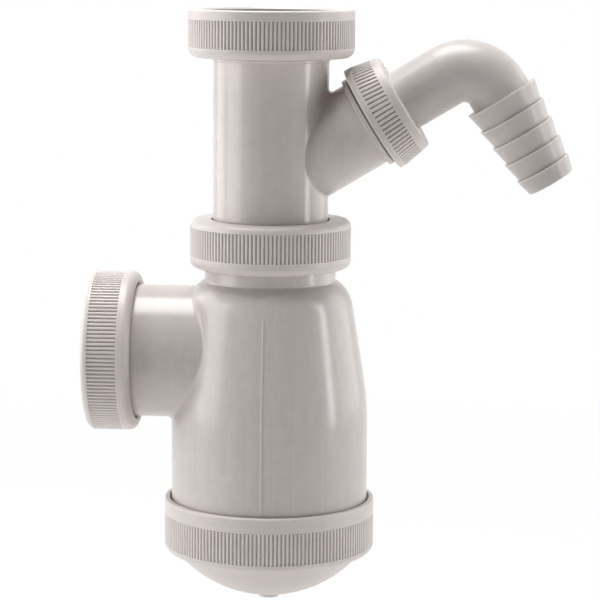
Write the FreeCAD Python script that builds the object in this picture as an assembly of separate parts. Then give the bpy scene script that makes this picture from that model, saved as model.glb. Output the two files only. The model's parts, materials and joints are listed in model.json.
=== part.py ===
import FreeCAD, Part
import math
import os

# Bottle trap for a 40 mm waste pipe, with a side nozzle for a washing machine hose.
# Millimetres, +Z up. The outlet points to -X and the hose branch to +X.
# The origin lies on the upright axis, at the face of the inlet washer where the sink waste seals.

# Waste pipe, the same for the upright tube and for the pipe that the outlet takes
PIPE_R = 20.0
PIPE_WALL = 2.2
PIPE_GAP = 0.35             # radial play of the pipe in necks, seals and slip rings
NUT_HOLE_GAP = 0.75         # radial play of the pipe in the hole of the neck's or the outlet's nut

# Inch and a half thread of the three union nuts. Bores and necks end at the roots of their threads.
NECK_WALL = 2.05            # from the pipe socket to the root of a neck's thread
UNION_THREAD_DEPTH = 1.55
NUT_LIP = 3.0               # closed end of a union nut
RELIEF_DEPTH = 0.5          # plain groove behind the nut's thread
MOUTH_CHAMFER = 0.6
SEAL_SIDE_GAP = 0.45        # radial play of washers and flanges inside a nut

# Ribs round the nuts and the cup
RIB_PITCH = 1.4
RIB_GROOVE = 0.85
RIB_DEPTH = 0.7

# Inlet joint
INLET_NUT_WALL = 4.8        # from the root of its thread to the crests of its ribs
INLET_NUT_H = 16.5
INLET_NUT_MOUTH_ROUND = 0.6
INLET_NUT_END_ROUND = 3.4
INLET_NUT_RIM = 3.4         # smooth band at its mouth
INLET_NUT_END = 3.5         # smooth band at its closed end
INLET_WASHER_T = 2.5
FLANGE_T = 2.5
INLET_HOLE_GAP = 0.3        # radial play of the tube in the hole of the inlet nut
BEAD_HEIGHT = 0.4           # ring on the tube that keeps the inlet nut up
BEAD_WIDTH = 1.0
BEAD_GAP = 0.2

# Union nuts of the neck and the outlet, which are alike
UNION_NUT_WALL = 4.05
UNION_NUT_H = 16.8
UNION_NUT_MOUTH_ROUND = 2.7
UNION_NUT_END_ROUND = 2.2
UNION_NUT_RIM = 4.4
UNION_NUT_END = 2.4
SLIP_RING_T = 1.0
CONE_SEAL_T = 2.0           # flat back of a cone seal
CONE_SEAL_LIP = 2.0         # how far its cone reaches into the seat
CONE_GAP = 0.3
SEAT_LAND = 0.6             # flat ring round the mouth of the conical seat
SEAT_DEPTH = 4.0
THREAD_RUNOUT = 1.0         # plain neck that reaches into the nut's mouth

# Slanted branch and its thread for the hose nozzle
BRANCH_DEG = 31.2           # above the horizontal
BRANCH_Z = -50.2            # where its axis meets the upright axis
BRANCH_LENGTH = 46.6        # from the upright axis to its end
BRANCH_STEP = 0.2           # from the root of its thread up to its plain part
BRANCH_WALL = 2.4
BRANCH_FILLET = 1.0
HOSE_ROOT_R = 15.0
HOSE_THREAD_DEPTH = 1.55
COLLAR_HEIGHT = 1.6
COLLAR_WIDTH = 1.6
COLLAR_GAP = 0.9
NOZZLE_WASHER_T = 2.0
NOZZLE_NUT_WALL = 2.7
NOZZLE_NUT_TAPER = 1.85     # it narrows towards its outer end
NOZZLE_NUT_LENGTH = 12.4
NOZZLE_NUT_LIP = 2.6
NOZZLE_NUT_RIM = 2.3
NOZZLE_NUT_END = 3.0
NOZZLE_NUT_END_ROUND = 0.8
NOZZLE_NUT_STEP = 0.6       # its bore narrows past the thread
NOZZLE_RIB_PITCH = 1.7

# Hose nozzle
NOZZLE_R = 10.7
NOZZLE_WALL = 2.95
NOZZLE_FLANGE_T = 2.2
NOZZLE_REACH = 34.4         # from its seat to the corner of its bend
NOZZLE_FUNNEL = 1.5
HUB_GAP = 0.45
BEND_R = 12.6
BARB_START = 15.9           # from the corner to the first barb
BARB_COUNT = 5
BARB_PITCH = 7.0
BARB_R = 13.0               # edge of the first barb
BARB_STEP = 0.74            # each barb is smaller than the one before it
BARB_TAPER = 1.65
BARB_PASS_GAP = 0.3         # play of the barbs in the hole of the nozzle nut
TIP_LENGTH = 5.9
TIP_BORE_R = 6.2

# Bottle
BODY_R = 34.45
BODY_WALL = 2.6
TAPER_DEG = 9.2
BLEND_R = 106.0             # arc from the taper into the lower cylinder
BLEND_Z = -137.0            # where that arc ends
SHOULDER_R = 12.0
NECK_FOOT_RISE = 2.7        # from the top of the outlet to where the shoulder meets the neck
NECK_END_Z = -70.0
NECK_STEP = 0.5             # from the root of the neck's thread up to its plain foot
NECK_FILLET = 0.6
OUTLET_Z = -111.2
OUTLET_STEP = 0.75
OUTLET_END = 57.1           # from the upright axis
OUTLET_SOCKET = 20.6        # how far the outlet pipe goes in
OUTLET_FILLET = 1.5
PARTING_HEIGHT = 0.2        # fine mould line down the front of the bottle
PARTING_WIDTH = 0.6
PARTING_TOP_Z = -95.0
WATER_SEAL = 50.0           # from the outlet's lowest point down to the end of the dip tube

# Base cup and its thread
BASE_RIM_Z = -174.0         # lower rim of the bottle
BASE_THREAD_INSET = 1.05    # from the body's outside in to the root of its thread
BASE_THREAD_LENGTH = 10.0
CUP_GAP = 0.3               # radial play of the bottle in the cup's bore
CUP_SKIRT = 2.15            # from the cup's bore to the crests of its ribs
CUP_RISE = 11.7             # how far the cup's rim reaches above the bottle's rim
CUP_HEIGHT = 19.1           # from the cup's rim to the edge of the dome
CUP_RIM_ROUND = 0.8
CUP_EDGE_ROUND = 2.6
CUP_MOUTH_DEPTH = 1.5
CUP_MOUTH_GAP = 0.5
CUP_RIM = 5.2               # smooth band above its ribs
CUP_EDGE = 2.7              # smooth band below them
CUP_WALL = 2.6
BASE_SEAL_T = 2.0
BASE_LEDGE = 3.8            # width of the ledge that carries the base seal
DOME_R = 42.3
DOME_DEPTH = 15.9
BOSS_R = 3.6
BOSS_HEIGHT = 1.6

# Sizes that follow from those above
PIPE_BORE_R = PIPE_R - PIPE_WALL
SOCKET_R = PIPE_R + PIPE_GAP
UNION_ROOT_R = SOCKET_R + NECK_WALL
UNION_BORE_R = UNION_ROOT_R + UNION_THREAD_DEPTH
SEAL_R = UNION_BORE_R - SEAL_SIDE_GAP
JOINT_SEAL_R = UNION_ROOT_R     # so that it passes through the nut's thread
SEAT_R = UNION_ROOT_R - SEAT_LAND
NECK_R = UNION_ROOT_R + NECK_STEP
OUTLET_R = UNION_ROOT_R + OUTLET_STEP
INLET_NUT_R = UNION_BORE_R + INLET_NUT_WALL
UNION_NUT_R = UNION_BORE_R + UNION_NUT_WALL
INLET_STACK = INLET_WASHER_T + FLANGE_T
UNION_STACK = CONE_SEAL_T + SLIP_RING_T
INLET_NUT_Z = -INLET_STACK - NUT_LIP
NECK_NUT_Z = NECK_END_Z + UNION_STACK + NUT_LIP
OUTLET_NUT_END = OUTLET_END + UNION_STACK + NUT_LIP
NECK_FOOT_Z = OUTLET_Z + OUTLET_R + NECK_FOOT_RISE
DIP_END_Z = OUTLET_Z - PIPE_BORE_R - WATER_SEAL
BRANCH_R = HOSE_ROOT_R + BRANCH_STEP
BRANCH_BORE_R = HOSE_ROOT_R - BRANCH_WALL
COLLAR_R = HOSE_ROOT_R + COLLAR_HEIGHT
HOSE_BORE_R = HOSE_ROOT_R + HOSE_THREAD_DEPTH
NOZZLE_NUT_R = HOSE_BORE_R + NOZZLE_NUT_WALL
NOZZLE_NUT_FRONT_R = NOZZLE_NUT_R - NOZZLE_NUT_TAPER
NOZZLE_NUT_SEAT_R = HOSE_BORE_R - NOZZLE_NUT_STEP
NOZZLE_FLANGE_R = NOZZLE_NUT_SEAT_R - SEAL_SIDE_GAP
NOZZLE_SEAT = BRANCH_LENGTH + NOZZLE_WASHER_T
NOZZLE_NUT_REAR = NOZZLE_SEAT + NOZZLE_FLANGE_T + NOZZLE_NUT_LIP - NOZZLE_NUT_LENGTH
NOZZLE_BORE_R = NOZZLE_R - NOZZLE_WALL
NOZZLE_HOLE_R = BARB_R + BARB_PASS_GAP
BASE_ROOT_R = BODY_R - BASE_THREAD_INSET
CUP_BORE_R = BODY_R + CUP_GAP
CUP_R = CUP_BORE_R + CUP_SKIRT
CUP_RIM_Z = BASE_RIM_Z + CUP_RISE
BASE_LEDGE_Z = BASE_RIM_Z - BASE_SEAL_T
BASE_LEDGE_R = CUP_BORE_R - BASE_LEDGE
DOME_EDGE_Z = CUP_RIM_Z - CUP_HEIGHT
DOME_Z = DOME_EDGE_Z - DOME_DEPTH + DOME_R

V = FreeCAD.Vector
ORIGIN = V(0, 0, 0)
AXIS_Y = V(0, 1, 0)
AXIS_Z = V(0, 0, 1)


def spun(edges, sweep=360):
    """Solid of revolution about Z from the edges of its half section in the XZ plane."""
    face = Part.Face(Part.Wire(edges))
    return face.revolve(ORIGIN, AXIS_Z, sweep)


def turned(corners):
    """Solid of revolution about Z from the (radius, height) corners of its half section."""
    points = [V(r, 0, z) for r, z in corners]
    return spun(Part.makePolygon(points + points[:1]).Edges)


def rod(radius, low, high):
    """Cylinder about Z."""
    return Part.makeCylinder(radius, high - low, V(0, 0, low))


def washer(hole_r, outer_r, low, high):
    """Flat ring about Z."""
    return rod(outer_r, low, high).cut(rod(hole_r, low, high))


def rounded(shape, radius, edge_r, edge_z):
    """Rounds the circular edge that has the given radius and height."""
    edges = []
    for edge in shape.Edges:
        curve = edge.Curve
        if not isinstance(curve, Part.Circle):
            continue
        if abs(curve.Radius - edge_r) < 1e-4 and abs(curve.Center.z - edge_z) < 1e-4:
            edges.append(edge)
    return shape.makeFillet(radius, edges)


def blended(shape, radius):
    """Rounds the curve where a side branch meets a round body."""
    edges = [edge for edge in shape.Edges if isinstance(edge.Curve, Part.BSplineCurve)]
    return shape.makeFillet(radius, edges)


def star(radius, height, count):
    """Outline of a ribbed slice: a flat land for each rib, with a V groove after it."""
    step = 2 * math.pi / count
    groove = RIB_GROOVE / radius
    points = []
    for index in range(count):
        corners = (
            (radius, index * step),
            (radius, (index + 1) * step - groove),
            (radius - RIB_DEPTH, (index + 1) * step - groove / 2),
        )
        points += [V(r * math.cos(angle), r * math.sin(angle), height) for r, angle in corners]
    return Part.makePolygon(points + points[:1])


def ribs(low_r, high_r, low, high, pitch):
    """Slice of straight ribs all round Z, which may taper."""
    count = round(2 * math.pi * low_r / pitch)
    return Part.makeLoft([star(low_r, low, count), star(high_r, high, count)], True, True)


def edge_round(radius, band):
    """Rounding that leaves a little of the band it is cut from."""
    return min(radius, 0.95 * band)


def along_branch(shape):
    """Moves a piece made about Z onto the slanted branch, measured from the upright axis."""
    shape.rotate(ORIGIN, AXIS_Y, 90 - BRANCH_DEG)
    shape.translate(V(0, 0, BRANCH_Z))
    return shape


def along_outlet(shape):
    """Moves a piece made about Z onto the outlet, with +Z turned outwards to -X."""
    shape.rotate(ORIGIN, AXIS_Y, -90)
    shape.translate(V(0, 0, OUTLET_Z))
    return shape


def union_nut(outer_r, height, rim, end, mouth_round, end_round, stack, hole_gap):
    """Union nut about Z with its mouth down at zero and its closed end up."""
    hole_r = PIPE_R + hole_gap
    floor = height - NUT_LIP
    mouth_band = rounded(rod(outer_r, 0, rim), edge_round(mouth_round, rim), outer_r, 0)
    end_band = rounded(rod(outer_r, height - end, height), edge_round(end_round, end), outer_r, height)
    nut = mouth_band.fuse([ribs(outer_r, outer_r, rim, height - end, RIB_PITCH), end_band])
    bore = turned([
        (0, 0),
        (UNION_BORE_R + MOUTH_CHAMFER, 0),
        (UNION_BORE_R, MOUTH_CHAMFER),
        (UNION_BORE_R, floor - stack),
        (UNION_BORE_R + RELIEF_DEPTH, floor - stack),
        (UNION_BORE_R + RELIEF_DEPTH, floor),
        (hole_r, floor),
        (hole_r, height),
        (0, height),
    ])
    return nut.cut(bore)


def inlet_nut():
    """Top nut, mouth up, which hangs under the tee's flange."""
    nut = union_nut(INLET_NUT_R, INLET_NUT_H, INLET_NUT_RIM, INLET_NUT_END,
                    INLET_NUT_MOUTH_ROUND, INLET_NUT_END_ROUND, INLET_STACK, INLET_HOLE_GAP)
    nut.rotate(ORIGIN, AXIS_Y, 180)
    nut.translate(V(0, 0, INLET_NUT_Z + INLET_NUT_H))
    return nut


def joint_nut():
    """Nut of the neck or the outlet, mouth down at zero."""
    return union_nut(UNION_NUT_R, UNION_NUT_H, UNION_NUT_RIM, UNION_NUT_END,
                     UNION_NUT_MOUTH_ROUND, UNION_NUT_END_ROUND, UNION_STACK, NUT_HOLE_GAP)


def neck_nut():
    """Nut on the bottle's neck, with the upright tube through its hole."""
    nut = joint_nut()
    nut.translate(V(0, 0, NECK_NUT_Z - UNION_NUT_H))
    return nut


def outlet_nut():
    """Nut on the side outlet."""
    nut = joint_nut()
    nut.translate(V(0, 0, OUTLET_NUT_END - UNION_NUT_H))
    return along_outlet(nut)


def inlet_washer():
    """Flat washer on the tee's flange, with its upper face at the origin."""
    return washer(PIPE_BORE_R, SEAL_R, -INLET_WASHER_T, 0)


def cone_seal(end):
    """Seal whose flat back lies on a neck that ends at the given height, cone pointing down."""
    slope = (SEAT_R - SOCKET_R) / SEAT_DEPTH
    cone_r = SEAT_R - CONE_GAP
    return turned([
        (SOCKET_R, end + CONE_SEAL_T),
        (JOINT_SEAL_R, end + CONE_SEAL_T),
        (JOINT_SEAL_R, end),
        (cone_r, end),
        (cone_r - slope * CONE_SEAL_LIP, end - CONE_SEAL_LIP),
        (SOCKET_R, end - CONE_SEAL_LIP),
    ])


def slip_ring(end):
    """Thin hard ring between a cone seal and its nut."""
    low = end + CONE_SEAL_T
    return washer(SOCKET_R, JOINT_SEAL_R, low, low + SLIP_RING_T)


def seat_cutter(end, depth):
    """Conical seat and pipe socket, cut from the mouth of a neck that ends at the given height."""
    return turned([
        (0, end),
        (SEAT_R, end),
        (SOCKET_R, end - SEAT_DEPTH),
        (SOCKET_R, end - depth),
        (0, end - depth),
    ])


def inlet_tee():
    """Tube with flange, retaining bead, hose branch and dip tube."""
    flange_top = -INLET_WASHER_T
    bead_top = INLET_NUT_Z - BEAD_GAP
    bead_r = PIPE_R + BEAD_HEIGHT
    tube = turned([
        (0, flange_top),
        (SEAL_R, flange_top),
        (SEAL_R, flange_top - FLANGE_T),
        (PIPE_R, flange_top - FLANGE_T),
        (PIPE_R, bead_top),
        (bead_r, bead_top - BEAD_HEIGHT / 2),
        (bead_r, bead_top - BEAD_WIDTH + BEAD_HEIGHT / 2),
        (PIPE_R, bead_top - BEAD_WIDTH),
        (PIPE_R, DIP_END_Z),
        (0, DIP_END_Z),
    ])
    collar_end = NOZZLE_NUT_REAR - COLLAR_GAP
    tee = blended(tube.fuse(along_branch(rod(BRANCH_R, 0, collar_end))), BRANCH_FILLET)
    collar = along_branch(rod(COLLAR_R, collar_end - COLLAR_WIDTH, collar_end))
    spigot = along_branch(rod(HOSE_ROOT_R, collar_end - COLLAR_WIDTH, BRANCH_LENGTH))
    tee = tee.fuse([collar, spigot]).removeSplitter()
    tube_bore = rod(PIPE_BORE_R, DIP_END_Z, flange_top)
    branch_bore = along_branch(rod(BRANCH_BORE_R, 0, BRANCH_LENGTH))
    return tee.cut([tube_bore, branch_bore])


def nozzle_washer():
    """Flat washer on the end of the branch."""
    return along_branch(washer(BRANCH_BORE_R, NOZZLE_FLANGE_R, BRANCH_LENGTH, NOZZLE_SEAT))


def nozzle_nut():
    """Small tapered nut whose lip holds the nozzle's flange."""
    floor = NOZZLE_NUT_LENGTH - NOZZLE_NUT_LIP
    step = floor - NOZZLE_FLANGE_T - NOZZLE_WASHER_T
    ribs_end = NOZZLE_NUT_LENGTH - NOZZLE_NUT_END
    slope = (NOZZLE_NUT_R - NOZZLE_NUT_FRONT_R) / (NOZZLE_NUT_LENGTH - NOZZLE_NUT_RIM)
    ribs_end_r = NOZZLE_NUT_FRONT_R + slope * NOZZLE_NUT_END
    rear = rod(NOZZLE_NUT_R, 0, NOZZLE_NUT_RIM)
    front = Part.makeCone(ribs_end_r, NOZZLE_NUT_FRONT_R, NOZZLE_NUT_END, V(0, 0, ribs_end))
    front = rounded(front, edge_round(NOZZLE_NUT_END_ROUND, NOZZLE_NUT_END), NOZZLE_NUT_FRONT_R,
                    NOZZLE_NUT_LENGTH)
    nut = rear.fuse([ribs(NOZZLE_NUT_R, ribs_end_r, NOZZLE_NUT_RIM, ribs_end, NOZZLE_RIB_PITCH), front])
    bore = turned([
        (0, 0),
        (HOSE_BORE_R + MOUTH_CHAMFER, 0),
        (HOSE_BORE_R, MOUTH_CHAMFER),
        (HOSE_BORE_R, step),
        (NOZZLE_NUT_SEAT_R, step),
        (NOZZLE_NUT_SEAT_R, floor),
        (NOZZLE_HOLE_R, floor),
        (NOZZLE_HOLE_R, NOZZLE_NUT_LENGTH),
        (0, NOZZLE_NUT_LENGTH),
    ])
    nut = nut.cut(bore)
    nut.translate(V(0, 0, NOZZLE_NUT_REAR))
    return along_branch(nut)


def bend(radius):
    """Quarter bend of a round rod from +Z to +X."""
    low = NOZZLE_REACH - BEND_R
    disc = Part.Face(Part.Wire(Part.makeCircle(radius, V(0, 0, low))))
    return disc.revolve(V(BEND_R, 0, low), AXIS_Y, 90)


def past_bend(shape):
    """Moves a piece made about Z onto the run after the bend, measured from its corner."""
    shape.rotate(ORIGIN, AXIS_Y, 90)
    shape.translate(V(0, 0, NOZZLE_REACH))
    return shape


def hose_nozzle():
    """Elbow with its flange, hub and barbs, all with one bore through them."""
    hub_r = NOZZLE_HOLE_R - HUB_GAP
    hub_end = NOZZLE_FLANGE_T + NOZZLE_NUT_LIP
    bend_start = NOZZLE_REACH - BEND_R
    stem = turned([
        (0, 0),
        (NOZZLE_FLANGE_R, 0),
        (NOZZLE_FLANGE_R, NOZZLE_FLANGE_T),
        (hub_r, NOZZLE_FLANGE_T),
        (hub_r, hub_end),
        (NOZZLE_R, hub_end),
        (NOZZLE_R, bend_start),
        (0, bend_start),
    ])
    outline = [(0, BEND_R), (NOZZLE_R, BEND_R), (NOZZLE_R, BARB_START)]
    for index in range(BARB_COUNT):
        start = BARB_START + index * BARB_PITCH
        length = TIP_LENGTH if index == BARB_COUNT - 1 else BARB_PITCH
        edge_r = BARB_R - index * BARB_STEP
        outline += [(edge_r, start), (edge_r - BARB_TAPER, start + length)]
    tip = outline[-1][1]
    barbs = past_bend(turned(outline + [(0, tip)]))
    nozzle = stem.fuse([bend(NOZZLE_R), barbs]).removeSplitter()
    entry = turned([
        (0, 0),
        (NOZZLE_BORE_R + NOZZLE_FUNNEL, 0),
        (NOZZLE_BORE_R, NOZZLE_FUNNEL),
        (NOZZLE_BORE_R, bend_start),
        (0, bend_start),
    ])
    exit_bore = past_bend(turned([(0, BEND_R), (NOZZLE_BORE_R, BEND_R), (TIP_BORE_R, tip), (0, tip)]))
    nozzle = nozzle.cut(entry.fuse([bend(NOZZLE_BORE_R), exit_bore]))
    nozzle.translate(V(0, 0, NOZZLE_SEAT))
    return along_branch(nozzle)


def shoulder_centre():
    """Centre of the shoulder arc, which runs from the neck's foot and is tangent to the body's taper."""
    taper = math.radians(TAPER_DEG)
    out = V(math.cos(taper), 0, math.sin(taper))
    up = V(-math.sin(taper), 0, math.cos(taper))
    foot = V(NECK_R, 0, NECK_FOOT_Z)
    taper_reach = out.dot(V(BODY_R - BLEND_R, 0, BLEND_Z)) + BLEND_R
    inward = out.dot(foot) - taper_reach + SHOULDER_R
    return foot - out * inward - up * math.sqrt(SHOULDER_R ** 2 - inward ** 2)


def shoulder_rise(inset, radius):
    """Angle on the shoulder arc at which it meets a neck of the given radius."""
    return math.acos((radius - shoulder_centre().x) / (SHOULDER_R - inset))


def body(inset, neck_r, top_z, bottom_z, sweep=360):
    """Round body of the bottle up to its neck, drawn in from its outside by the given wall."""
    def arc(centre, radius, low, high):
        angles = (low, (low + high) / 2, high)
        return Part.Arc(*[centre + V(math.cos(a), 0, math.sin(a)) * radius for a in angles]).toShape()

    taper = math.radians(TAPER_DEG)
    blend = arc(V(BODY_R - BLEND_R, 0, BLEND_Z), BLEND_R - inset, 0, taper)
    shoulder = arc(shoulder_centre(), SHOULDER_R - inset, taper, shoulder_rise(inset, neck_r))
    slope = Part.makeLine(blend.lastVertex().Point, shoulder.firstVertex().Point)
    lower = Part.makePolygon([V(0, 0, bottom_z), V(BODY_R - inset, 0, bottom_z), blend.firstVertex().Point])
    crown = [shoulder.lastVertex().Point, V(neck_r, 0, top_z), V(0, 0, top_z), V(0, 0, bottom_z)]
    return spun(lower.Edges + [blend, slope, shoulder] + Part.makePolygon(crown).Edges, sweep)


def parting_line(top_z, bottom_z):
    """Thin wedge that stands a little out of the body, facing -Y."""
    sweep = math.degrees(PARTING_WIDTH / BODY_R)
    wedge = body(-PARTING_HEIGHT, NECK_R, top_z, bottom_z, sweep)
    wedge.rotate(ORIGIN, AXIS_Z, -90 - sweep / 2)
    return wedge.common(rod(BODY_R + PARTING_HEIGHT, bottom_z, PARTING_TOP_Z))


def bottle_body():
    """Bottle with its threaded neck, side outlet and threaded lower rim."""
    thread_top = BASE_RIM_Z + BASE_THREAD_LENGTH
    neck_thread_low = NECK_NUT_Z - UNION_NUT_H + THREAD_RUNOUT
    outlet_thread_low = OUTLET_NUT_END - UNION_NUT_H + THREAD_RUNOUT
    bottle = body(0, NECK_R, neck_thread_low, thread_top)
    bottle = rounded(bottle, NECK_FILLET, NECK_R, NECK_FOOT_Z)
    bottle = bottle.fuse(along_outlet(rod(OUTLET_R, 0, outlet_thread_low)))
    bottle = blended(bottle, OUTLET_FILLET)
    neck = rod(UNION_ROOT_R, neck_thread_low, NECK_END_Z)
    outlet = along_outlet(rod(UNION_ROOT_R, outlet_thread_low, OUTLET_END))
    rim = rod(BASE_ROOT_R, BASE_RIM_Z, thread_top)
    bottle = bottle.fuse([neck, outlet, rim, parting_line(neck_thread_low, CUP_RIM_Z)])
    inside = body(BODY_WALL, SOCKET_R, NECK_END_Z, BASE_RIM_Z)
    neck_seat = seat_cutter(NECK_END_Z, SEAT_DEPTH)
    outlet_seat = along_outlet(seat_cutter(OUTLET_END, OUTLET_SOCKET))
    waterway = along_outlet(rod(PIPE_BORE_R, 0, OUTLET_END))
    return bottle.cut([inside, neck_seat, outlet_seat, waterway])


def base_seal():
    """Flat ring between the bottle's lower rim and the cup's ledge."""
    return washer(BODY_R - BODY_WALL, CUP_BORE_R - SEAL_SIDE_GAP, BASE_LEDGE_Z, BASE_RIM_Z)


def base_cup():
    """Ribbed screw cup with a domed bottom and a small boss at its centre."""
    edge_z = DOME_EDGE_Z + CUP_EDGE
    rim_low_z = CUP_RIM_Z - CUP_RIM
    dome_low_z = DOME_Z - DOME_R
    mouth_r = CUP_BORE_R + CUP_MOUTH_GAP
    edge_band = rounded(rod(CUP_R, DOME_EDGE_Z, edge_z), edge_round(CUP_EDGE_ROUND, CUP_EDGE), CUP_R,
                        DOME_EDGE_Z)
    rim_band = rounded(rod(CUP_R, rim_low_z, CUP_RIM_Z), edge_round(CUP_RIM_ROUND, CUP_RIM), CUP_R,
                       CUP_RIM_Z)
    dome = Part.makeSphere(DOME_R, V(0, 0, DOME_Z)).common(rod(CUP_R, dome_low_z, DOME_EDGE_Z))
    boss = rod(BOSS_R, dome_low_z - BOSS_HEIGHT, DOME_EDGE_Z)
    cup = edge_band.fuse([ribs(CUP_R, CUP_R, edge_z, rim_low_z, RIB_PITCH), rim_band, dome, boss])
    bowl_space = rod(BASE_LEDGE_R, dome_low_z, BASE_LEDGE_Z)
    bowl = Part.makeSphere(DOME_R - CUP_WALL, V(0, 0, DOME_Z)).common(bowl_space)
    bore = turned([
        (0, BASE_LEDGE_Z),
        (CUP_BORE_R, BASE_LEDGE_Z),
        (CUP_BORE_R, CUP_RIM_Z - CUP_MOUTH_DEPTH),
        (mouth_r, CUP_RIM_Z - CUP_MOUTH_DEPTH + CUP_MOUTH_GAP),
        (mouth_r, CUP_RIM_Z),
        (0, CUP_RIM_Z),
    ])
    return cup.cut([bowl, bore])


PIECES = {
    "inlet_nut": inlet_nut(),
    "inlet_washer": inlet_washer(),
    "inlet_tee": inlet_tee(),
    "nozzle_washer": nozzle_washer(),
    "nozzle_nut": nozzle_nut(),
    "hose_nozzle": hose_nozzle(),
    "neck_nut": neck_nut(),
    "neck_slip_ring": slip_ring(NECK_END_Z),
    "neck_cone_seal": cone_seal(NECK_END_Z),
    "bottle_body": bottle_body(),
    "outlet_nut": outlet_nut(),
    "outlet_slip_ring": along_outlet(slip_ring(OUTLET_END)),
    "outlet_cone_seal": along_outlet(cone_seal(OUTLET_END)),
    "base_seal": base_seal(),
    "base_cup": base_cup(),
}

os.makedirs("parts", exist_ok=True)
for name, piece in PIECES.items():
    piece.exportStep(f"parts/{name}.step")
    print(f"{name}: {len(piece.Solids)} solid, {piece.Volume / 1000:.2f} cm3, valid {piece.isValid()}")
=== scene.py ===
# %% [markdown]
# A bottle trap in moulded plastic
#
# A bottle trap hangs under a sink. Waste water falls through the upright tube into the bottle, stands
# there as a seal against sewer air, and leaves by the side outlet. The barbed nozzle takes the hose of
# a washing machine. The solids come from the packed model and stay as they are. This lesson adds what
# they leave out: the threads inside the joints, the finish of each material, and a small studio.

# %% Load the packed model
import json
import math

import bmesh
import bpy
from mathutils import Color, Matrix, Vector


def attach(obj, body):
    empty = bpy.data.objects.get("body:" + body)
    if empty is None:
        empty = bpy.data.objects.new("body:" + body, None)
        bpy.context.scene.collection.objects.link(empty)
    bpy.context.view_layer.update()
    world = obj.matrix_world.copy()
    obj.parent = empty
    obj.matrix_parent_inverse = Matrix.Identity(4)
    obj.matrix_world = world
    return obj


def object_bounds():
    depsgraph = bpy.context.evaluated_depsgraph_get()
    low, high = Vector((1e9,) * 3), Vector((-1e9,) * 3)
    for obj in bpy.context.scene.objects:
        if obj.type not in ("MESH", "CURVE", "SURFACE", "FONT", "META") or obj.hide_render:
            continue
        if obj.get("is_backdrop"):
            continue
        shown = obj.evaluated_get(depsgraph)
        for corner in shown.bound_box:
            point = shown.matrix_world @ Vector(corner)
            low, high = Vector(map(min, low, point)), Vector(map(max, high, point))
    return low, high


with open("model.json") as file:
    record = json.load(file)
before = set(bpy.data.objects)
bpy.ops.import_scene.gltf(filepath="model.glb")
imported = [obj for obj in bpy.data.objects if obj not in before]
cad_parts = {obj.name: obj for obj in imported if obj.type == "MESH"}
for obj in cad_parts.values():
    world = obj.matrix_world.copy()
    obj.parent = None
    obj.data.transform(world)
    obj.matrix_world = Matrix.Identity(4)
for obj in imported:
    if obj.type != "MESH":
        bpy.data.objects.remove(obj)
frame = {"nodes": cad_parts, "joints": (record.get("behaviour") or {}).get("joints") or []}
cad_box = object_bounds()
MM = 0.001

# %% [markdown]
# Writing shaders as sums
#
# A material in Blender is a graph of nodes. Graphs of many small Math nodes are slow to write by hand
# and hard to read. The class below wraps one output socket and overloads the arithmetic signs, so a
# pattern is written as a plain sum and the nodes appear by themselves. A number on either side works,
# which is why each sign has its reflected form too. Every other node comes from one method, which sets
# the node up first and then fills its inputs. A Mix node hides the sockets of its other data types, so
# its colour sockets are found by number.

# %% A socket that can be added and multiplied
MIX_SHARE, MIX_FIRST_COLOUR, MIX_SECOND_COLOUR = 0, 6, 7
MIX_COLOUR_OUT = 2


def feed(node, inputs):
    """Fills a node's inputs by name or number: a value is linked, a plain number or colour is set."""
    for key, given in inputs.items():
        if isinstance(given, Value):
            given.tree.links.new(given.socket, node.inputs[key])
        else:
            node.inputs[key].default_value = given


class Value:
    """One output socket of a node tree, or the bare tree to start from."""

    def __init__(self, tree, socket=None):
        self.tree = tree
        self.socket = socket

    def node(self, kind, inputs=None, **settings):
        """Adds a node, sets it up, fills its inputs and gives its first output."""
        made = self.tree.nodes.new(kind)
        for key, setting in settings.items():
            setattr(made, key, setting)
        feed(made, inputs or {})
        return Value(self.tree, made.outputs[0])

    def output(self, name):
        """Another output of the node that this value comes from."""
        return Value(self.tree, self.socket.node.outputs[name])

    def maths(self, operation, first, second):
        """Adds one Math node. An input is a value or a plain number."""
        return self.node("ShaderNodeMath", {0: first, 1: second}, operation=operation)

    def __add__(self, other):
        return self.maths("ADD", self, other)

    def __radd__(self, other):
        return self.maths("ADD", other, self)

    def __sub__(self, other):
        return self.maths("SUBTRACT", self, other)

    def __rsub__(self, other):
        return self.maths("SUBTRACT", other, self)

    def __mul__(self, other):
        return self.maths("MULTIPLY", self, other)

    def __rmul__(self, other):
        return self.maths("MULTIPLY", other, self)

    def larger(self, other):
        """The larger of two values."""
        return self.maths("MAXIMUM", self, other)

    def size(self):
        """This value without its sign."""
        return self.maths("ABSOLUTE", self, 0.0)

    def noise(self, scale, detail=2.0, roughness=0.5):
        """Cloudy pattern from 0 to 1 at this place, with the given number of clouds to a metre."""
        return self.node("ShaderNodeTexNoise", {"Vector": self, "Scale": scale, "Detail": detail,
                                                "Roughness": roughness})

    def stretched(self, factors):
        """This place with each axis multiplied, so that a pattern on it is drawn out."""
        return self.node("ShaderNodeVectorMath", {0: self, 1: factors}, operation="MULTIPLY")

    def blend(self, first, second):
        """Colour between two others, with this value as the share of the second."""
        colours = {MIX_SHARE: self, MIX_FIRST_COLOUR: first, MIX_SECOND_COLOUR: second}
        return self.node("ShaderNodeMix", colours, data_type="RGBA").output(MIX_COLOUR_OUT)

    def between(self, low, high):
        """Soft step of this value, 0 at the low end and 1 at the high end."""
        ends = {"Value": self, "From Min": low, "From Max": high}
        return self.node("ShaderNodeMapRange", ends, interpolation_type="SMOOTHSTEP")


print("besides sums, a value knows", [name for name in vars(Value) if not name.startswith("_")])

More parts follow.
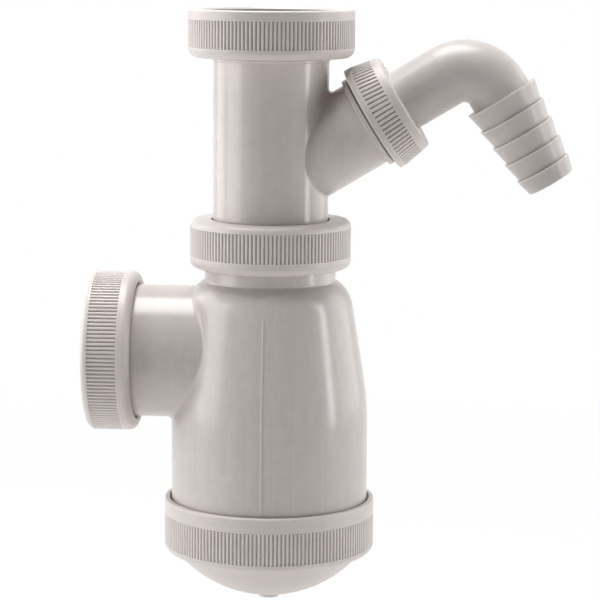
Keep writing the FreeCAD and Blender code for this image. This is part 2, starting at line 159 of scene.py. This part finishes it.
# %% [markdown]
# Colours as they are seen
#
# Paint and plastic are matched by eye on a screen, with red, green and blue from 0 to 255. Blender
# works with amounts of light instead, so each colour is turned into light before it goes to a socket.

# %% Turn a screen colour into light
SCREEN_WHITE = 255


def seen(*screen_parts):
    """Colour socket value for red, green and blue as a screen shows them."""
    shares = Color([part / SCREEN_WHITE for part in screen_parts])
    return (*shares.from_srgb_to_scene_linear(), 1.0)


print("mid grey", [round(part, 3) for part in seen(128, 128, 128)])

# %% [markdown]
# A fresh material
#
# Every finish here starts the same way: a new material, its one surface shader, and the place on the
# piece, from which all patterns are drawn. The place is taken in the object's own space, which is in
# metres on the solids, so a pattern stays on its piece when the piece turns.


# %% Start a material
def fresh(name):
    """New material with its shader and the place on the piece."""
    material = bpy.data.materials.new(name)
    material.use_nodes = True
    tree = material.node_tree
    place = Value(tree).node("ShaderNodeTexCoord").output("Object")
    return material, tree.nodes["Principled BSDF"], place


print(len(bpy.data.materials), "plain materials came with the model")

# %% [markdown]
# Moulded plastic
#
# The trap is moulded in a pale, warm grey polypropylene. Close up it isn't one colour: the melt leaves
# faint drawn-out clouds where it flowed and the steel of the mould leaves a fine grain. Fine lines run
# along the way the piece was drawn from its mould. A flat colour would look like card. Noises at the
# real scales, some centimetres, some millimetres and a fifth of a millimetre, give the clouds, the
# mottle and the grain, and one that is drawn out a long way gives the lines. Two Ambient Occlusion
# nodes find the grooves, looking out, and the edges, looking in: shade is painted into the grooves and
# a highlight is painted pale along the outer edges. No moulded edge is truly sharp either, so the Bevel
# node rounds the light on each edge by a fraction of a millimetre, and with the painted highlight this
# draws the thin bright lines along the ribs, rims and barbs.

# %% Grooves and edges
GROOVE_REACH = 1.4 * MM
EDGE_REACH = 0.8 * MM
GROOVE_DEEP, GROOVE_OPEN = 0.2, 0.9
EDGE_FULL, EDGE_NONE = 0.5, 0.95
REACH_SAMPLES = 8


def painted_groove_shade(place):
    """Share of painted shade: 1 deep in a groove, 0 in the open."""
    look_out = place.node("ShaderNodeAmbientOcclusion", {"Distance": GROOVE_REACH},
                          samples=REACH_SAMPLES, only_local=True)
    return 1 - look_out.output("AO").between(GROOVE_DEEP, GROOVE_OPEN)


def rubbed_edge(place):
    """Share of painted highlight: 1 on an outer edge, 0 away from it."""
    look_in = place.node("ShaderNodeAmbientOcclusion", {"Distance": EDGE_REACH},
                         samples=REACH_SAMPLES, only_local=True, inside=True)
    return 1 - look_in.output("AO").between(EDGE_FULL, EDGE_NONE)


print(f"grooves are felt {GROOVE_REACH / MM:.1f} mm deep, edges {EDGE_REACH / MM:.1f} mm wide")

# %% Moulded plastic finish
CLOUDS_PER_METRE, MOTTLES_PER_METRE, GRAINS_PER_METRE = 28, 260, 5200
DRAW_LINES_PER_METRE, DRAWN_OUT = 900, 0.02
# Painted shade for the grooves, and painted highlight for the outer edges and the bottle's mould line
GROOVE_SHADE_COLOUR, EDGE_HIGHLIGHT_COLOUR = seen(118, 110, 105), seen(240, 234, 230)
TONE_CLOUDS, TONE_MOTTLE, TONE_LINES = 0.6, 0.2, 0.2
TONE_LOW, TONE_HIGH = 0.32, 0.68
DULL_MOTTLE, DULL_CLOUDS, DULL_GROOVE_SHADE = 0.06, 0.04, 0.1
RELIEF_GRAIN, RELIEF_MOTTLE, RELIEF_LINES = 0.5, 0.25, 0.25
RELIEF_DEPTH = 0.05 * MM
EDGE_SAMPLES = 6
PLASTIC_IOR = 1.49


def moulded_plastic(name, light, dark, dull, grain, flow, dusty,
                    rubbed=0.6, edge_round=0.25 * MM, seam=None):
    """Pale plastic whose clouds are drawn out by the given factors along the way the melt ran."""
    material, shader, place = fresh(name)
    clouds = place.stretched(flow).noise(CLOUDS_PER_METRE, detail=3.0)
    mottle = place.noise(MOTTLES_PER_METRE)
    fine = place.noise(GRAINS_PER_METRE, detail=1.0)
    draw_way = [DRAWN_OUT if factor < 1 else factor for factor in flow]
    lines = place.stretched(draw_way).noise(DRAW_LINES_PER_METRE)
    # Painted shade: the grooves are darkened where the shade falls
    dust = dusty * painted_groove_shade(place)

    tone = TONE_CLOUDS * clouds + TONE_MOTTLE * mottle + TONE_LINES * lines
    colour = tone.between(TONE_LOW, TONE_HIGH).blend(dark, light)
    colour = dust.blend(colour, GROOVE_SHADE_COLOUR)
    # Painted highlight: the outer edges are made paler
    colour = (rubbed * rubbed_edge(place)).blend(colour, EDGE_HIGHLIGHT_COLOUR)
    # Painted highlight along the bottle's mould line
    if seam:
        colour = seam(place).blend(colour, EDGE_HIGHLIGHT_COLOUR)
    dullness = dull + DULL_MOTTLE * mottle + DULL_CLOUDS * clouds + DULL_GROOVE_SHADE * dust

    relief = RELIEF_GRAIN * fine + RELIEF_MOTTLE * mottle + RELIEF_LINES * lines
    soft_edge = place.node("ShaderNodeBevel", {"Radius": edge_round}, samples=EDGE_SAMPLES)
    bump = place.node("ShaderNodeBump", {"Strength": grain, "Distance": RELIEF_DEPTH, "Height": relief,
                                         "Normal": soft_edge})
    feed(shader, {"Base Color": colour, "Roughness": dullness, "Normal": bump, "IOR": PLASTIC_IOR})
    return material


for pattern, per_metre in (("clouds", CLOUDS_PER_METRE), ("mottle", MOTTLES_PER_METRE),
                           ("draw lines", DRAW_LINES_PER_METRE), ("grain", GRAINS_PER_METRE)):
    print(f"{pattern} about {1 / per_metre / MM:.1f} mm across")

# %% [markdown]
# The mould line of the bottle
#
# The two halves of the bottle's mould meet down its front and leave a fine raised line, which the
# solid has. A painted highlight makes the plastic a little paler along it, so that it shows as a thin
# bright line: it is on wherever the place is close to the upright plane through the axis, on the
# front, and between the ends of the line.

# %% Find the mould line
# Share of painted highlight on the mould line
SEAM_HIGHLIGHT = 0.15
SEAM_HALF_WIDTH, SEAM_FADED = 0.3 * MM, 0.45 * MM
SEAM_TOP, SEAM_FOOT = -95 * MM, -162 * MM
SEAM_RUNOUT = 1.0 * MM


def mould_line_highlight(place):
    """Share of painted highlight on the bottle: a small share on its mould line, 0 elsewhere."""
    across = place.node("ShaderNodeSeparateXYZ", {"Vector": place})
    depth, up = across.output("Y"), across.output("Z")
    near = 1 - across.size().between(SEAM_HALF_WIDTH, SEAM_FADED)
    front = 1 - depth.between(-SEAM_RUNOUT, 0.0)
    above_foot = up.between(SEAM_FOOT, SEAM_FOOT + SEAM_RUNOUT)
    below_top = 1 - up.between(SEAM_TOP - SEAM_RUNOUT, SEAM_TOP)
    return SEAM_HIGHLIGHT * near * front * above_foot * below_top


print(f"the mould line is {(SEAM_TOP - SEAM_FOOT) / MM:.0f} mm long")

# %% [markdown]
# Four versions of the plastic
#
# Tube, bottle, nuts and nozzle come from moulds with their own surface of steel. The walls of the tube
# and the bottle are smooth, and lamps show in them as clear strips. The nuts and the cup are duller,
# their colour is set a shade paler as painted light, and their rib edges carry a strong painted
# highlight. The nozzle's colour is set a shade greyer as painted shade, and its barbs have rounder edges
# with the same strong painted highlight. All four could be painted one by one, but one function with
# other numbers keeps them the same plastic.

# %% Make the four plastics
UPRIGHT_FLOW = (1.0, 1.0, 0.22)
LEVEL_FLOW = (0.3, 1.0, 1.0)
WALL = {"light": seen(214, 205, 201), "dark": seen(199, 192, 189), "dull": 0.17, "grain": 0.14,
        "flow": UPRIGHT_FLOW, "dusty": 0.15}
# The nut colours are a shade paler than the walls: painted light
NUT = {"light": seen(219, 210, 206), "dark": seen(208, 200, 197), "dull": 0.31, "grain": 0.2,
       "flow": LEVEL_FLOW, "dusty": 0.1, "rubbed": 0.95}
# The nozzle colours are a shade greyer than the walls: painted shade
NOZZLE = {"light": seen(206, 199, 195), "dark": seen(194, 188, 185), "dull": 0.28, "grain": 0.16,
          "flow": LEVEL_FLOW, "dusty": 0.0, "rubbed": 0.95, "edge_round": 0.5 * MM}
tube_plastic = moulded_plastic("tube_plastic", **WALL)
bottle_plastic = moulded_plastic("bottle_plastic", **WALL, rubbed=0.2, seam=mould_line_highlight)
nut_plastic = moulded_plastic("nut_plastic", **NUT)
nozzle_plastic = moulded_plastic("nozzle_plastic", **NOZZLE)
for plastic in (tube_plastic, bottle_plastic, nut_plastic, nozzle_plastic):
    print(plastic.name, "has", len(plastic.node_tree.nodes), "nodes")

# %% [markdown]
# Seal rubber
#
# The washers and cone seals are black rubber. They sit inside the joints, and only the open mouths of
# the inlet and the outlet show a little of them. New rubber has a grey bloom, a thin wax that comes to
# the surface in patches, so the colour and the shine change together with one mottled pattern.

# %% Seal rubber finish
BLACK, BLOOM_GREY = seen(34, 34, 36), seen(62, 61, 60)
BLOOMS_PER_METRE, PORES_PER_METRE = 220, 3800
BLOOM_STARTS, BLOOM_FULL = 0.35, 0.75
RUBBER_DULL, BLOOM_DULLER = 0.5, 0.25
PORE_STRENGTH = 0.25


def seal_rubber():
    """Black rubber with a patchy grey bloom."""
    material, shader, place = fresh("seal_rubber_bloom")
    bloom = place.noise(BLOOMS_PER_METRE, detail=4.0, roughness=0.6).between(BLOOM_STARTS, BLOOM_FULL)
    pores = place.noise(PORES_PER_METRE, detail=1.0)
    bump = place.node("ShaderNodeBump", {"Strength": PORE_STRENGTH, "Distance": RELIEF_DEPTH,
                                         "Height": pores})
    feed(shader, {"Base Color": bloom.blend(BLACK, BLOOM_GREY),
                  "Roughness": RUBBER_DULL + BLOOM_DULLER * bloom, "Normal": bump})
    return material


rubber = seal_rubber()
print("rubber:", rubber.name)

# %% [markdown]
# Slip rings
#
# A thin hard ring lies between each cone seal and its nut, so that the nut slides on it and doesn't
# drag the rubber round. Such rings are cut from uncoloured plastic: milky, a little yellow and duller
# than the walls, with faint level streaks. A noise that is squeezed along one axis gives the streaks,
# and a plain one gives the milky clouds.

# %% Slip ring finish
MILKY_SHADE, MILKY = seen(222, 219, 208), seen(232, 230, 222)
MILKY_CLOUDS_PER_METRE, STREAKS_PER_METRE = 150, 420
MILKY_LOW, MILKY_HIGH = 0.3, 0.7
SQUEEZED_UPRIGHT = (1.0, 1.0, 14.0)
RING_DULL, STREAK_DULLER = 0.29, 0.1
STREAK_STRENGTH, STREAK_DEPTH = 0.15, 0.04 * MM


def milky_ring():
    """Uncoloured hard plastic with faint cloudy streaks."""
    material, shader, place = fresh("slip_ring_milky")
    clouds = place.noise(MILKY_CLOUDS_PER_METRE, detail=3.0).between(MILKY_LOW, MILKY_HIGH)
    streaks = place.stretched(SQUEEZED_UPRIGHT).noise(STREAKS_PER_METRE)
    bump = place.node("ShaderNodeBump", {"Strength": STREAK_STRENGTH, "Distance": STREAK_DEPTH,
                                         "Height": streaks})
    feed(shader, {"Base Color": clouds.blend(MILKY_SHADE, MILKY),
                  "Roughness": RING_DULL + STREAK_DULLER * streaks, "Normal": bump})
    return material


ring_plastic = milky_ring()
print("ring plastic:", ring_plastic.name)

# %% [markdown]
# Finishing the solids
#
# Each solid already has a material slot from the model. New meshes could carry the finishes too, but
# the solids have the right shape, so the finish goes into that slot and the mesh isn't touched.

# %% Put the finishes on the solids
FINISHES = {
    tube_plastic: ("inlet_tee",),
    bottle_plastic: ("bottle_body",),
    nut_plastic: ("inlet_nut", "neck_nut", "outlet_nut", "nozzle_nut", "base_cup"),
    nozzle_plastic: ("hose_nozzle",),
    rubber: ("inlet_washer", "nozzle_washer", "neck_cone_seal", "outlet_cone_seal", "base_seal"),
    ring_plastic: ("neck_slip_ring", "outlet_slip_ring"),
}
for finish, names in FINISHES.items():
    for name in names:
        frame["nodes"][name].material_slots[0].material = finish
print({finish.name: len(names) for finish, names in FINISHES.items()})

# %% [markdown]
# Screw threads
#
# A screw thread holds every joint of the trap. The solids end at the roots of the threads, and the
# ridges are made here. A modifier could screw one profile round an axis, but its ends would be cut off
# square. Real ridges run out into the wall, so the ridge is swept by hand: four corners of a blunt tooth
# go round the axis, rise by the pitch each turn, and shrink into the wall over the first and last half
# turn. The threads of a nut are the same ridge turned inwards and set half a pitch further, so that
# the two mesh with play on all sides. A ridge is worked out in millimetres and its object is scaled, so
# the patterns of the plastic are too fine to see on it, and it shows one even tone.

# %% Sweep one ridge
STEPS_PER_TURN = 64
RUNOUT_TURNS = 0.5
SUNK = 0.15
LOWEST_TOP = 0.02


def ridge(name, wall, low, high, inwards, pitch, foot, crest, tall):
    """Mesh of a right-hand thread about +Z, in millimetres, on a wall of the given radius."""
    shift = pitch / 2 if inwards else 0
    side = -1 if inwards else 1
    first = math.ceil((low + foot / 2 - shift) / pitch * STEPS_PER_TURN)
    count = int((high - low - foot) / pitch * STEPS_PER_TURN)
    mesh = bmesh.new()
    rows = []
    for step in range(count + 1):
        turned = (first + step) / STEPS_PER_TURN
        angle = turned * 2 * math.pi
        middle = turned * pitch + shift
        from_end = min(step, count - step) / STEPS_PER_TURN
        grown = min(1.0, from_end / RUNOUT_TURNS)
        top = max(LOWEST_TOP, tall * math.sin(grown * math.pi / 2))
        row = []
        for out, along in ((-SUNK, -foot / 2), (top, -crest / 2), (top, crest / 2), (-SUNK, foot / 2)):
            radius = wall + side * out
            corner = (radius * math.cos(angle), radius * math.sin(angle), middle + along)
            row.append(mesh.verts.new(corner))
        rows.append(row)
    for row, after in zip(rows, rows[1:]):
        for index, corner in enumerate(row):
            mesh.faces.new((row[index - 1], corner, after[index], after[index - 1]))
    mesh.faces.new(reversed(rows[0]))
    mesh.faces.new(rows[-1])
    bmesh.ops.recalc_face_normals(mesh, faces=mesh.faces)
    data = bpy.data.meshes.new(name)
    mesh.to_mesh(data)
    mesh.free()
    data.shade_smooth()
    return data


print(f"a ridge has {STEPS_PER_TURN} steps to a turn and runs out over {RUNOUT_TURNS} of a turn")

# %% [markdown]
# Where each thread goes
#
# The model's joints say where each screw axis lies and which way it points, so a thread made about +Z
# is turned onto that axis. The union joints have the inch and a half pipe thread, eleven turns to the
# inch, and the hose branch has the inch thread with the same pitch. The cup has a coarse thread that a
# wet hand can open.

# %% Two kinds of thread
INCH, PIPE_TURNS_PER_INCH = 25.4, 11
PIPE_THREAD = {"pitch": INCH / PIPE_TURNS_PER_INCH, "foot": 1.3, "crest": 0.6, "tall": 1.1}
CUP_THREAD = {"pitch": 4.0, "foot": 2.0, "crest": 1.0, "tall": 0.9}
print(f"pitches {PIPE_THREAD['pitch']:.2f} and {CUP_THREAD['pitch']:.2f} mm")

# %% Put the threads in place
NECK_WALL, NUT_WALL = 22.4, 23.95
BRANCH_WALL, SMALL_NUT_WALL = 15.0, 16.55
FOOT_WALL, CUP_WALL = 33.4, 34.75
OUTWARDS, INWARDS = False, True
# Body, screw, radius of the wall, start and end along the screw's axis, side of the wall, and kind
THREADS = {
    "inlet_nut_thread": ("inlet_nut", "inlet_nut_turn", NUT_WALL, 0.3, 7.6, INWARDS, PIPE_THREAD),
    "neck_thread": ("bottle", "neck_nut_turn", NECK_WALL, -79.4, -70.4, OUTWARDS, PIPE_THREAD),
    "neck_nut_thread": ("neck_nut", "neck_nut_turn", NUT_WALL, -79.8, -70.4, INWARDS, PIPE_THREAD),
    "outlet_thread": ("bottle", "outlet_nut_turn", NECK_WALL, 47.7, 56.7, OUTWARDS, PIPE_THREAD),
    "outlet_nut_thread": ("outlet_nut", "outlet_nut_turn", NUT_WALL, 47.3, 56.7, INWARDS, PIPE_THREAD),
    "branch_thread": ("tee", "nozzle_nut_turn", BRANCH_WALL, 40.4, 46.3, OUTWARDS, PIPE_THREAD),
    "nozzle_nut_thread": ("nozzle_nut", "nozzle_nut_turn", SMALL_NUT_WALL, 41.8, 46.3, INWARDS, PIPE_THREAD),
    "base_thread": ("bottle", "base_cup_turn", FOOT_WALL, 164.4, 173.6, OUTWARDS, CUP_THREAD),
    "base_cup_thread": ("base_cup", "base_cup_turn", CUP_WALL, 164.2, 175.6, INWARDS, CUP_THREAD),
}
joints = {joint["name"]: joint for joint in frame["joints"]}
for name, (body, screw, wall, low, high, inwards, kind) in THREADS.items():
    thread = bpy.data.objects.new(name, ridge(name, wall, low, high, inwards, **kind))
    bpy.context.scene.collection.objects.link(thread)
    onto_axis = Vector(joints[screw]["axis"]).to_track_quat("Z", "Y").to_matrix().to_4x4()
    thread.matrix_world = Matrix.Translation(joints[screw]["pos_m"]) @ onto_axis @ Matrix.Scale(MM, 4)
    thread.data.materials.append(nut_plastic)
    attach(thread, body)
    print(name, len(thread.data.polygons), "faces")

# %% [markdown]
# The floor and the room
#
# The trap is shown alone on white, hanging a little above the floor as it does under a sink. The floor
# is a wide pale disc with a soft shadow. It lies so low that the bottle can slide down and the cup can
# be unscrewed without reaching it. To the camera most of the floor's light is plain white, so it runs
# into the background with no line, and a share of real light is left so that the shadow stays. The
# room lights the trap with a dim grey, and only what the camera or a reflection sees directly is white.

# %% Make the floor
FLOOR_GAP = 1.0 * MM
FLOOR_RADIUS = 3.0
FLOOR_SIDES = 96
floor_mesh = bmesh.new()
bmesh.ops.create_circle(floor_mesh, cap_ends=True, segments=FLOOR_SIDES, radius=FLOOR_RADIUS)
floor_data = bpy.data.meshes.new("floor")
floor_mesh.to_mesh(floor_data)
floor_mesh.free()
floor = bpy.data.objects.new("floor", floor_data)
drawn_down = sum(joints[slide]["range_m"][1] for slide in ("height_adjust", "base_cup_travel"))
floor.location.z = cad_box[0].z - drawn_down - FLOOR_GAP
bpy.context.scene.collection.objects.link(floor)
floor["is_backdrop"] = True
print(f"floor at {floor.location.z / MM:.1f} mm")

# %% Floor finish
PURE_WHITE = (1, 1, 1, 1)
FLOOR_SHADE, FLOOR_PALE = seen(236, 235, 234), seen(242, 241, 240)
FLOOR_CLOUDS_PER_METRE = 9
FLOOR_DULL = 0.8
WHITE_NEAR, WHITE_FAR = 0.75, 1.0
FADE_STARTS, FADE_ENDS = 0.1, 0.6


def seen_directly(tree):
    """1 for what the camera sees, by itself or in a reflection or glass, and 0 for what only lights."""
    ray = Value(tree).node("ShaderNodeLightPath")
    mirrored = ray.output("Is Glossy Ray").larger(ray.output("Is Transmission Ray"))
    return ray.output("Is Camera Ray").larger(mirrored)


floor_finish, floor_shader, floor_place = fresh("pale_floor")
floor_tree = floor_finish.node_tree
floor_tone = floor_place.noise(FLOOR_CLOUDS_PER_METRE, detail=3.0)
feed(floor_shader, {"Base Color": floor_tone.blend(FLOOR_SHADE, FLOOR_PALE), "Roughness": FLOOR_DULL})
away = floor_place.node("ShaderNodeVectorMath", {0: floor_place}, operation="LENGTH").output("Value")
whitened = WHITE_NEAR + (WHITE_FAR - WHITE_NEAR) * away.between(FADE_STARTS, FADE_ENDS)
lit = Value(floor_tree, floor_shader.outputs["BSDF"])
white = floor_place.node("ShaderNodeEmission", {"Color": PURE_WHITE, "Strength": 1.0})
mixed = floor_place.node("ShaderNodeMixShader", {0: whitened * seen_directly(floor_tree), 1: lit, 2: white})
feed(floor_tree.nodes["Material Output"], {"Surface": mixed})
floor_data.materials.append(floor_finish)
print(f"the floor is {WHITE_NEAR:.0%} plain white under the trap and {WHITE_FAR:.0%} from {FADE_ENDS} m on")

# %% Light the room
ROOM_LIGHT = 0.02
world = bpy.data.worlds.new("studio")
bpy.context.scene.world = world
world.use_nodes = True
brightness = ROOM_LIGHT + (1 - ROOM_LIGHT) * seen_directly(world.node_tree)
feed(world.node_tree.nodes["Background"], {"Color": PURE_WHITE, "Strength": brightness})
print(f"the room's own light is {ROOM_LIGHT:.0%} of white")

# %% [markdown]
# Studio lamps
#
# White plastic on white needs light from the sides: the edges go bright, the front goes grey and the
# round forms show. A large soft lamp stands on the left, and a narrow one on the right draws a thin
# bright line down the tube and the bottle. Two more stand a little behind the trap, one on each side,
# and brighten its outline. The strongest hangs above and lights the rims and shoulders.

# %% Place the lamps
# Place and size in metres, and power in watts
LAMPS = {
    "left_lamp": ((-0.75, -0.22, 0.05), (0.5, 0.7), 3.5),
    "left_edge_lamp": ((-0.7, 0.3, 0.1), (0.4, 0.7), 1.9),
    "right_lamp": ((0.79, -0.12, 0.0), (0.1, 0.7), 2.2),
    "right_edge_lamp": ((0.7, 0.35, 0.05), (0.6, 0.7), 2.1),
    "top_lamp": ((-0.1, 0.05, 0.75), (0.5, 0.6), 8.8),
}
middle = (cad_box[0] + cad_box[1]) / 2
for name, (stand, size, power) in LAMPS.items():
    lamp_data = bpy.data.lights.new(name, "AREA")
    lamp_data.shape = "RECTANGLE"
    lamp_data.size, lamp_data.size_y = size
    lamp_data.energy = power
    lamp = bpy.data.objects.new(name, lamp_data)
    lamp.location = stand
    lamp.rotation_mode = "QUATERNION"
    lamp.rotation_quaternion = (middle - Vector(stand)).to_track_quat("-Z", "Y")
    bpy.context.scene.collection.objects.link(lamp)
print(len(LAMPS), "lamps aimed at", [round(part / MM) for part in middle], "mm")

# %% [markdown]
# The camera
#
# The picture is taken from a little above and almost straight at the front, with a long lens, so that
# the upright lines hardly run together. The camera looks at a point on the trap, stands back from it
# by a measured distance, and is rolled by less than half a degree.

# %% Set up the camera
LOOK_AT = Vector((10.4, 0.7, -92.5)) * MM
TURN, LOOK_DOWN, ROLL = math.radians(4.0), math.radians(8.6), math.radians(0.4)
STAND_BACK = 0.825
LENS = 141.48
NEAREST_SEEN = 0.01

to_camera = Vector((math.cos(LOOK_DOWN) * math.sin(TURN), -math.cos(LOOK_DOWN) * math.cos(TURN),
                    math.sin(LOOK_DOWN)))
level = (-to_camera).to_track_quat("-Z", "Y").to_matrix()
rolled = level @ Matrix.Rotation(ROLL, 3, "Z")
camera_data = bpy.data.cameras.new("camera")
camera_data.lens = LENS
camera_data.clip_start = NEAREST_SEEN
camera = bpy.data.objects.new("camera", camera_data)
camera.matrix_world = Matrix.Translation(LOOK_AT + to_camera * STAND_BACK) @ rolled.to_4x4()
bpy.context.scene.collection.objects.link(camera)
bpy.context.scene.camera = camera
bpy.context.scene.view_settings.view_transform = "Standard"
print("camera at", [round(part, 3) for part in camera.location], "m")

# %% [markdown] The size How far the finished model reaches beyond the solids' box.
# The size stays The finished model may not grow beyond the solids.

# %% Measure the size
shown_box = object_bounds()
grown = max((shown - solid).length for shown, solid in zip(shown_box, cad_box))
print(f"the shown model is {grown / MM:.3f} mm off the solids' box")
